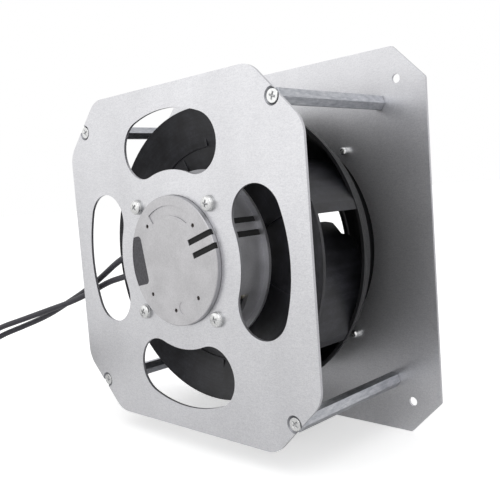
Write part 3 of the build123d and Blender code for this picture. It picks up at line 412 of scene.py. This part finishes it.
def windingAt(cable, wound):
    # radius and height of a cable's middle after so many degrees: four layers, outer and
    # inner on top, then inner and outer below, joined by steps of t^2 (3 - 2 t)
    outer, inner = cableValues["turnRadii"]
    radii = [outer, inner, inner, outer]
    heights = [cable["topZ"], cable["topZ"], cable["lowZ"], cable["lowZ"]]
    radius = np.full(len(wound), radii[0])
    height = np.full(len(wound), heights[0])
    for layer in (1, 2, 3):
        ends = layer * cableValues["layerTurn"]
        t = np.clip((wound - ends) / cableValues["layerStep"] + 1, 0, 1)
        t = t * t * (3 - 2 * t)
        radius += t * (radii[layer] - radii[layer - 1])
        height += t * (heights[layer] - heights[layer - 1])
    return radius, height


def coilPoints(cable):
    # control points on a spiral: the angle grows evenly, and the radius is divided by the
    # cosine of half a step, because a spline stays inside its points; then the straight end
    steps = int(round(cable["winding"] / cableValues["pointTurn"]))
    step = cable["winding"] / steps
    wound = (np.arange(steps) + 0.5) * step
    radius, height = windingAt(cable, wound)
    angle = np.radians(cableValues["turnStart"] + wound)
    radius = radius / np.cos(np.radians(step / 2))
    cx, cy = cableValues["coilCentre"]
    turns = np.stack([cx + radius * np.cos(angle), cy + radius * np.sin(angle), height], -1)
    last = np.radians(cableValues["turnStart"] + cable["winding"])
    out = np.array([np.cos(last), np.sin(last), 0])
    along = np.array([-np.sin(last), np.cos(last), 0])
    centre = np.array([cx, cy, cable["lowZ"]])
    tip = centre + out * cableValues["turnRadii"][0] + along * cableValues["leadOut"]
    return turns, tip, along


def cableCurve(name, points):
    # quadratic spline along the points, swept with the cable's round section
    curve = bpy.data.curves.new(name, "CURVE")
    curve.dimensions = "3D"
    spline = curve.splines.new("NURBS")
    spline.points.add(len(points) - 1)
    spline.points.foreach_set("co", np.c_[points, np.ones(len(points))].ravel())
    spline.order_u = 3
    spline.use_endpoint_u = True
    spline.resolution_u = 8
    curve.bevel_depth = cableValues["diameter"] / 2
    curve.bevel_resolution = 6
    curve.use_fill_caps = True
    return curve


def splineLength(curve, name):
    # sum of the steps along the curve's own line, read from a copy with no bevel
    bare = curve.copy()
    bare.bevel_depth = 0
    holder = bpy.data.objects.new(name, bare)
    mesh = bpy.data.meshes.new_from_object(holder)
    co = np.zeros(len(mesh.vertices) * 3)
    mesh.vertices.foreach_get("co", co)
    bpy.data.objects.remove(holder)
    bpy.data.curves.remove(bare)
    bpy.data.meshes.remove(mesh)
    return float(np.linalg.norm(np.diff(co.reshape(-1, 3), axis=0), axis=1).sum())


# Stripped ends: fanned-out cores with end ferrules, as profiles of (distance, radius) in mm
coreValues = {
    "radius": 0.0007, "spacing": 2.1, "fan": 9.0, "around": 24,   # spacing in radii, fan in degrees
    "insulation": [(0, 0), (0, 0.7), (12.2, 0.7), (12.5, 0.62), (12.6, 0)],
    "ferrule": [(11.6, 0), (11.6, 0.95), (11.9, 1.1), (14.6, 1.05), (15.4, 0.75), (16, 0.62),
                (20.8, 0.62), (21, 0.5), (21, 0)],
}


def coreMeshes(name, tip, along, count):
    # each profile is turned about its core's own straight line; the lines start side by side
    # at the jacket's end, and each is turned away from the cable by its share of the fan
    side = np.array([-along[1], along[0], 0])
    up = np.array([0, 0, 1.0])
    angle = np.linspace(0, 2 * np.pi, coreValues["around"], endpoint=False)[:, None]
    pairs = []
    for index in range(count):
        shift = index - (count - 1) / 2
        turn = np.radians(coreValues["fan"]) * shift
        heading = along * np.cos(turn) + side * np.sin(turn)
        across = np.array([-heading[1], heading[0], 0])
        spokes = np.cos(angle) * across + np.sin(angle) * up
        start = tip + side * shift * coreValues["spacing"] * coreValues["radius"]
        pair = []
        for part in ("insulation", "ferrule"):
            profile = np.array(coreValues[part])[:, None] / 1000
            points = start + profile[..., :1] * heading + profile[..., 1:] * spokes
            pair.append(meshOf(f"{name}{index}", points.reshape(-1, 3),
                               gridFaces(len(profile), len(angle))))
        pairs.append(pair)
    return pairs


# Cable tie: a band pulled tight round the turns that it crosses, with its lock on top
tieValues = {
    "angle": 265.0, "directions": 96,
    "width": 0.0036, "thick": 0.0009, "gap": 0.0001, "edge": 0.0002,
    "lock": (0.0031, 0.0029, 0.0026),    # half width across, height, half length along
    "tail": (0.0014, 0.0005, 0.0018), "tailHeight": 0.0016,
}


def tieMesh():
    # rim of the crossed turns: in each direction n, the turn that reaches furthest gives
    # the point middle + (radius + offset) n; the band's section is swept along that rim
    middles = []
    for cable in cables.values():
        first = (tieValues["angle"] - cableValues["turnStart"]) % 360
        wound = np.arange(first, cable["winding"], 360)
        middles.append(np.stack(windingAt(cable, wound), -1))
    middles = np.vstack(middles)
    turn = np.linspace(0, 2 * np.pi, tieValues["directions"], endpoint=False)
    normal = np.stack([np.cos(turn), np.sin(turn)], -1)
    furthest = middles[np.argmax(normal @ middles.T, axis=1)]
    low = cableValues["diameter"] / 2 + tieValues["gap"]
    high, half, edge = low + tieValues["thick"], tieValues["width"] / 2, tieValues["edge"]
    section = np.array([(low, -half), (high - edge, -half), (high, edge - half),
                        (high, half - edge), (high - edge, half), (low, half)])
    rim = furthest[None] + section[:, :1, None] * normal[None]
    depth = np.repeat(section[:, 1:], len(turn), 1)[..., None]
    flat = np.concatenate([rim, depth], -1).reshape(-1, 3)
    faces = gridFaces(len(section), len(turn), ring=True)
    # the lock is a block with a cut tail, over the highest turns
    highest = middles[middles[:, 1] > middles[:, 1].max() - 1e-6]
    top = highest.mean(0) + np.array([0, low])
    lock, tail = tieValues["lock"], tieValues["tail"]
    blocks = [(top, lock), (top + np.array([lock[0] + tail[0], tieValues["tailHeight"]]), tail)]
    blockCorners = np.array([(x, y, z) for x in (-1, 1) for y in (0, 1) for z in (-1, 1)])
    blockSides = np.array([(0, 1, 3, 2), (4, 6, 7, 5), (0, 4, 5, 1), (2, 3, 7, 6),
                           (0, 2, 6, 4), (1, 5, 7, 3)])
    for (across, up), size in blocks:
        faces = np.vstack([faces, blockSides + len(flat)])
        flat = np.vstack([flat, blockCorners * np.array(size) + np.array([across, up, 0])])
    # from (radius, height, along the turns) to the coil's own place
    angle = radians(tieValues["angle"])
    out = np.array([np.cos(angle), np.sin(angle), 0])
    along = np.array([-np.sin(angle), np.cos(angle), 0])
    cx, cy = cableValues["coilCentre"]
    points = (np.array([cx, cy, 0]) + flat[:, :1] * out + flat[:, 1:2] * np.array([0, 0, 1.0])
              + flat[:, 2:] * along)
    return meshOf("cableTie", points, faces)


cableTie = newPiece("cableTie", tieMesh(), "frame", finishes["tie_plastic"],
                    ["cable_tie"])

for cableName, cable in cables.items():
    exitPoint = np.array(cable["exit"])
    drop = radians(cable["drop"])
    heading = np.array([-np.cos(drop), 0, -np.sin(drop)])
    turns, tip, along = coilPoints(cable)
    points = np.vstack([exitPoint, exitPoint + heading * cableValues["bootLength"],
                        np.array(cable["route"]), turns, tip])
    curve = cableCurve(f"{cableName}Cable", points)
    length = splineLength(curve, f"{cableName}Line")
    piece = newPiece(f"{cableName}Cable", curve, "frame", finishes["cable_jacket"],
                     [f"{cableName}_cable", f"{cableName}_cable_coil"])
    withPieces = []
    meshes = coreMeshes(f"{cableName}Core", tip, along, len(cable["cores"]))
    for index, (insulation, ferrule) in enumerate(meshes):
        colour = cable["cores"][index]
        finish = simpleFinish(f"{cableName}CoreJacket{index}", colour, colour, 0.0, 0.4, 1.5)
        stands = [f"{cableName}_cable_cores"] if index == 0 else []
        core = newPiece(f"{cableName}Core{index}", insulation, "frame", finish,
                        stands)
        cap = newPiece(f"{cableName}Ferrule{index}", ferrule, "frame",
                       finishes["zinc_plated_steel"])
        withPieces += [core, cap]
    if cableName == "power":
        withPieces.append(cableTie)
    print(cableName, "cable", round(length, 4), "m")

# The four corners of the fan, as they are seen from the motor's side
corners = {"top_right": (1, 1), "top_left": (-1, 1), "bottom_left": (-1, -1),
           "bottom_right": (1, -1)}
placeValues = {
    "cornerReach": 0.102,      # x and z of the corner screws and the spacers
    "motorCircle": 0.056,      # radius of the motor screws' circle
    "frontTop": -0.1177, "rearTop": -0.0003, "motorTop": -0.1224,    # y of the heads' tops
    "cornerSpins": (0.35, 1.2, 0.1, 0.75), "motorSpins": (0.2, 0.9, 0.5, 1.3),   # radians
    "rearSpin": 0.4,           # by which a rear screw is turned from the front one
}

# Screws, in mm: one grid from the middle of the top, over the edge and down to the shank's
# end. Profiles are rows of (radius, depth).
screwValues = {
    "recessLength": 4.8, "recessWidth": 0.8, "recessSlope": 0.3, "recessTaper": 0.55,
    "around": 96, "across": 34,                                # points of the grid
    "shadeInset": 0.2, "shadeFrom": 0.25, "shadeTo": 2.9,      # where the cross is painted darker, as shade
    "pan": {"depth": 1.6, "profile": [(4.95, 0.85), (5.2, 1.25), (5.32, 1.9), (5.32, 3.1),
                                      (5.2, 3.4), (2.5, 3.4), (2.5, 16.4), (0, 16.4)],
            "dome": 4.6, "sag": 0.6},
    "sunk": {"depth": 1.2, "profile": [(4.28, 0.02), (4.42, 0.14), (4.45, 1.35), (2.5, 3.25),
                                       (2.5, 15.0), (0, 15.0)],
             "dome": 4.28, "sag": 0.0},
}


def screwGrid(kind, spin):
    # depth below the top = sag (r/R)^2 plus the cross: a product of smooth arms in two
    # directions, deepest in the middle; then the side profile is turned about the axis
    values = screwValues[kind]
    angle = np.linspace(0, 2 * np.pi, screwValues["around"], endpoint=False)
    radius = np.linspace(0, 1, screwValues["across"])[:, None] * values["dome"]
    p = radius * np.cos(angle + spin)
    q = radius * np.sin(angle + spin)
    slope = screwValues["recessSlope"]

    def inside(value, half):
        t = np.clip((half + slope - np.abs(value)) / slope, 0, 1)
        return t * t * (3 - 2 * t)

    halfLength, halfWidth = screwValues["recessLength"] / 2, screwValues["recessWidth"] / 2
    cross = np.maximum(inside(p, halfWidth) * inside(q, halfLength),
                       inside(q, halfWidth) * inside(p, halfLength))
    taper = screwValues["recessTaper"] * np.clip(radius / halfLength, 0, 1) ** 2
    deep = values["depth"] * (1 - taper)
    depth = values["sag"] * (radius / values["dome"]) ** 2 + cross * deep
    top = np.stack([radius * np.cos(angle), radius * np.sin(angle), depth], -1)
    side = np.array(values["profile"])
    lower = np.stack([side[:, :1] * np.cos(angle), side[:, :1] * np.sin(angle),
                      np.repeat(side[:, 1:], len(angle), 1)], -1)
    return np.concatenate([top, lower], 0) / 1000


# a darker finish for the faces of the screws' cross recesses: painted shade
recessShadeFinish = simpleFinish("recessPaintedShade", "#b2b3b4", "#cbcbcc", 1.0, 0.45, 0.6)


def shadeRecess(mesh, places):
    # second, darker finish on the faces of the cross, as painted shade: inside the head's edge and
    # below its crown
    centres = np.zeros(len(mesh.polygons) * 3)
    mesh.polygons.foreach_get("center", centres)
    centres = centres.reshape(-1, 3)
    inCross = np.zeros(len(centres), bool)
    for x, z, top, facing, kind, spin in places:
        values = screwValues[kind]
        radius = np.hypot(centres[:, 0] - x, centres[:, 2] - z) * 1000
        below = (centres[:, 1] - top) * facing * 1000
        crown = values["sag"] * (radius / values["dome"]) ** 2
        inCross |= ((radius < values["dome"] - screwValues["shadeInset"])
                    & (below > crown + screwValues["shadeFrom"])
                    & (below < screwValues["shadeTo"]))
    mesh.materials.append(recessShadeFinish)
    mesh.polygons.foreach_set("material_index", inCross.astype(np.int32))


def screwSet(name, places, stands, smoothAngle=40):
    # places are (x, z, y of the top, +1 where the shank points to +y or -1, kind, spin)
    points, faces, start = [], [], 0
    for x, z, top, facing, kind, spin in places:
        grid = screwGrid(kind, spin)
        rows, columns = grid.shape[:2]
        flat = grid.reshape(-1, 3)
        points.append(np.stack([x + flat[:, 0], top + facing * flat[:, 2], z + flat[:, 1]], -1))
        faces.append(gridFaces(rows, columns, start))
        start += rows * columns
    mesh = meshOf(name, np.vstack(points), np.vstack(faces), smoothAngle)
    newPiece(name, mesh, "frame", finishes["zinc_plated_steel"], stands)
    shadeRecess(mesh, places)


front, rear, motor = [], [], []
cornerReach = placeValues["cornerReach"]
motorReach = placeValues["motorCircle"] / np.sqrt(2)
for index, (x, z) in enumerate(corners.values()):
    spin, motorSpin = placeValues["cornerSpins"][index], placeValues["motorSpins"][index]
    place = (x * cornerReach, z * cornerReach)
    front.append((*place, placeValues["frontTop"], 1, "sunk", spin))
    rear.append((*place, placeValues["rearTop"], -1, "sunk", spin + placeValues["rearSpin"]))
    motor.append((x * motorReach, z * motorReach, placeValues["motorTop"], 1, "pan", motorSpin))
screwSet("cornerScrews", front + rear, ["corner_screws"])
screwSet("motorScrews", motor, ["motor_screws"])
print("screws")

# Hexagonal spacers, in mm: rounded edges, turned end corners, a tapped bore with a wide mouth
spacerValues = {
    "flats": 10.0, "edgeRadius": 0.45, "arcPoints": 5, "flatStep": 0.2,
    "length": 114.0, "front": -116.0,
    "endRadius": 5.0, "endEdge": 0.15, "endLength": 0.46, "endSteps": (0.35, 0.7, 1.0),
    "hexFrom": 1.2,
    "bore": 2.5, "boreDepth": 18.0, "mouth": 4.0, "mouthDepth": 1.5,
    "turns": {"top_right": -9.0, "top_left": -3.0, "bottom_left": 5.0, "bottom_right": -13.0},
}


def spacerGrid(turn):
    # outline of a hexagon with rounded corners, each with an arc and a point on both flats;
    # rows follow the profile from one bore's floor, over the outside, to the other bore's
    # floor, and each point's radius is the lesser of the profile's and the outline's
    v = spacerValues
    corner = np.radians(turn + 60 * np.arange(6))[:, None]
    arc = corner + np.radians(np.linspace(-30, 30, v["arcPoints"]))[None, :]
    toCentre = (v["flats"] / 2 - v["edgeRadius"]) / np.cos(np.pi / 6)
    centre = toCentre * np.stack([np.cos(corner), np.sin(corner)], -1)
    rounded = centre + v["edgeRadius"] * np.stack([np.cos(arc), np.sin(arc)], -1)
    onFlat = v["flatStep"] * np.stack([np.sin(arc), -np.cos(arc)], -1)
    before = rounded[:, :1] + onFlat[:, :1]
    after = rounded[:, -1:] - onFlat[:, -1:]
    outline = np.concatenate([before, rounded, after], 1).reshape(-1, 2)
    reachOut = np.linalg.norm(outline, axis=1)
    unit = outline / reachOut[:, None]
    half = [(v["boreDepth"], 0.0), (v["boreDepth"], v["bore"]), (v["mouthDepth"], v["bore"]),
            (0.0, v["mouth"]), (0.0, v["endRadius"] - v["endEdge"]), (0.0, v["endRadius"])]
    half += [(v["endLength"] * t, v["endRadius"] + t * (reachOut.max() - v["endRadius"]))
             for t in v["endSteps"]]
    half += [(v["hexFrom"], np.inf)]
    rows = half + [(v["length"] - y, r) for y, r in half[::-1]]
    along = np.array([y for y, r in rows])
    limit = np.array([r for y, r in rows])
    radius = np.minimum(limit[:, None], reachOut[None, :])
    points = np.zeros((len(rows), len(outline), 3))
    points[..., 0] = radius * unit[:, 0]
    points[..., 1] = v["front"] + along[:, None]
    points[..., 2] = radius * unit[:, 1]
    return points / 1000


for side, (x, z) in corners.items():
    grid = spacerGrid(spacerValues["turns"][side])
    grid = grid + np.array([cornerReach * x, 0, cornerReach * z])
    mesh = meshOf(f"spacer_{side}", grid.reshape(-1, 3), gridFaces(*grid.shape[:2]))
    newPiece(f"spacer_{side}", mesh, "frame", platedHex, [f"standoff_{side}"])
print("spacers")

# Floor and light
lightValues = {
    "world": 0.78,
    "lamps": {
        "key": {"place": (1.3, -1.7, 1.9), "size": 2.4, "power": 17.0},
        "fill": {"place": (-1.45, -2.1, 0.5), "size": 1.4, "power": 2.6},
    },
    "aimZ": -0.02,         # the lamps point at this height on the z axis
    "floorZ": -0.1402, "floorReach": 12.0, "floorColour": "#f2f2f2",
    "floorGlow": 0.45,     # only for the camera's own rays
}
white = (1, 1, 1, 1)
floorMesh = bpy.data.meshes.new("floor")
reach = lightValues["floorReach"]
floorMesh.from_pydata([
    (x * reach, y * reach, lightValues["floorZ"]) for x, y in ((-1, -1), (1, -1), (1, 1), (-1, 1))
], [], [(0, 1, 2, 3)])
floor = bpy.data.objects.new("floor", floorMesh)
bpy.context.collection.objects.link(floor)
# Matt white paper, which glows for the camera alone, so that it shows as white as the world
floorMaterial, tree = startMaterial("paperFloor", {
    "Roughness": 0.9, "IOR": 1.3, "Base Color": toLinear(lightValues["floorColour"]),
    "Emission Color": white,
})
path = addNode(tree, "ShaderNodeLightPath")
glow = addNode(tree, "ShaderNodeMath", {"operation": "MULTIPLY"}, {
    0: path.outputs["Is Camera Ray"], 1: lightValues["floorGlow"],
})
surface = tree.nodes["Principled BSDF"]
tree.links.new(glow.outputs[0], surface.inputs["Emission Strength"])
floorMesh.materials.append(floorMaterial)

# The world is white where it is seen, also in metal and glass, and lights at a lower strength
world = bpy.data.worlds.new("studio")
bpy.context.scene.world = world
world.use_nodes = True
tree = world.node_tree
background = tree.nodes["Background"]
path = addNode(tree, "ShaderNodeLightPath")
shown = path.outputs["Is Camera Ray"]
for ray in ("Is Glossy Ray", "Is Transmission Ray"):
    shown = addNode(tree, "ShaderNodeMath", {"operation": "ADD", "use_clamp": True}, {
        0: shown, 1: path.outputs[ray],
    }).outputs[0]
strength = addNode(tree, "ShaderNodeMapRange", inputs={
    "Value": shown, "To Min": lightValues["world"], "To Max": 1.0,
})
background.inputs["Color"].default_value = white
tree.links.new(strength.outputs["Result"], background.inputs["Strength"])

for lampName, values in lightValues["lamps"].items():
    lamp = bpy.data.lights.new(lampName, "AREA")
    lamp.shape = "SQUARE"
    lamp.size = values["size"]
    lamp.energy = values["power"]
    holder = bpy.data.objects.new(lampName, lamp)
    holder.location = values["place"]
    away = holder.location.copy()
    away.z -= lightValues["aimZ"]
    holder.rotation_euler = away.to_track_quat("Z", "Y").to_euler()
    bpy.context.collection.objects.link(holder)
bpy.context.scene.view_settings.view_transform = "Standard"
print("floor and light")
